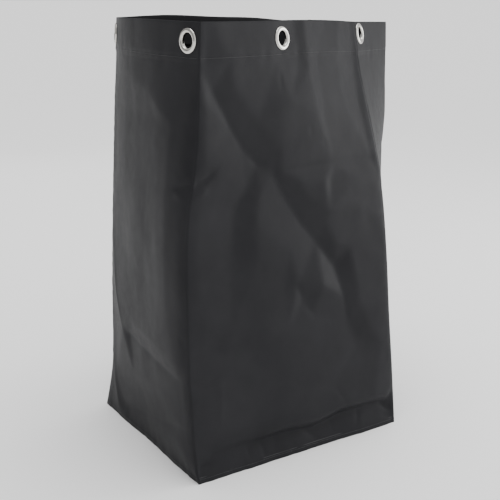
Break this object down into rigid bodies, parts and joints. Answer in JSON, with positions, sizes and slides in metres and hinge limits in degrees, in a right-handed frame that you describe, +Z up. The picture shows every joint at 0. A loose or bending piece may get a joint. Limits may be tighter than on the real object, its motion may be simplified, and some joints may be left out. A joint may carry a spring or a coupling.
{
  "type": "housekeeping cart bag",
  "caption": "Tall open-topped soft cart bag: square base, four sewn coated-cloth walls, a stitched hem and metal grommets along the rim.",
  "frame": {"origin": "centre of the base's underside", "axes": "+Z up, the front wall faces -Y, +X to the right when facing the front wall"},
  "size_m": [0.5388, 0.3821, 0.7],
  "materials": {
    "coated_cloth": "woven polyester with a satin coating",
    "bias_tape": "matt woven tape",
    "thread": "twisted polyester thread",
    "nickel_plate": "polished nickel-plated steel"
  },
  "bodies": {
    "root": {"back_left_eyelet": "nickel_plate", "back_left_seam_binding": "bias_tape", "back_left_washer": "nickel_plate", "back_middle_eyelet": "nickel_plate", "back_middle_washer": "nickel_plate", "back_panel": "coated_cloth", "back_right_eyelet": "nickel_plate", "back_right_seam_binding": "bias_tape", "back_right_washer": "nickel_plate", "base_panel": "coated_cloth", "base_seam_binding": "bias_tape", "base_stitching": "thread", "front_left_eyelet": "nickel_plate", "front_left_seam_binding": "bias_tape", "front_left_washer": "nickel_plate", "front_middle_eyelet": "nickel_plate", "front_middle_washer": "nickel_plate", "front_panel": "coated_cloth", "front_right_eyelet": "nickel_plate", "front_right_seam_binding": "bias_tape", "front_right_washer": "nickel_plate", "hem_stitching": "thread", "left_side_panel": "coated_cloth", "right_side_panel": "coated_cloth"}
  },
  "joints": []
}
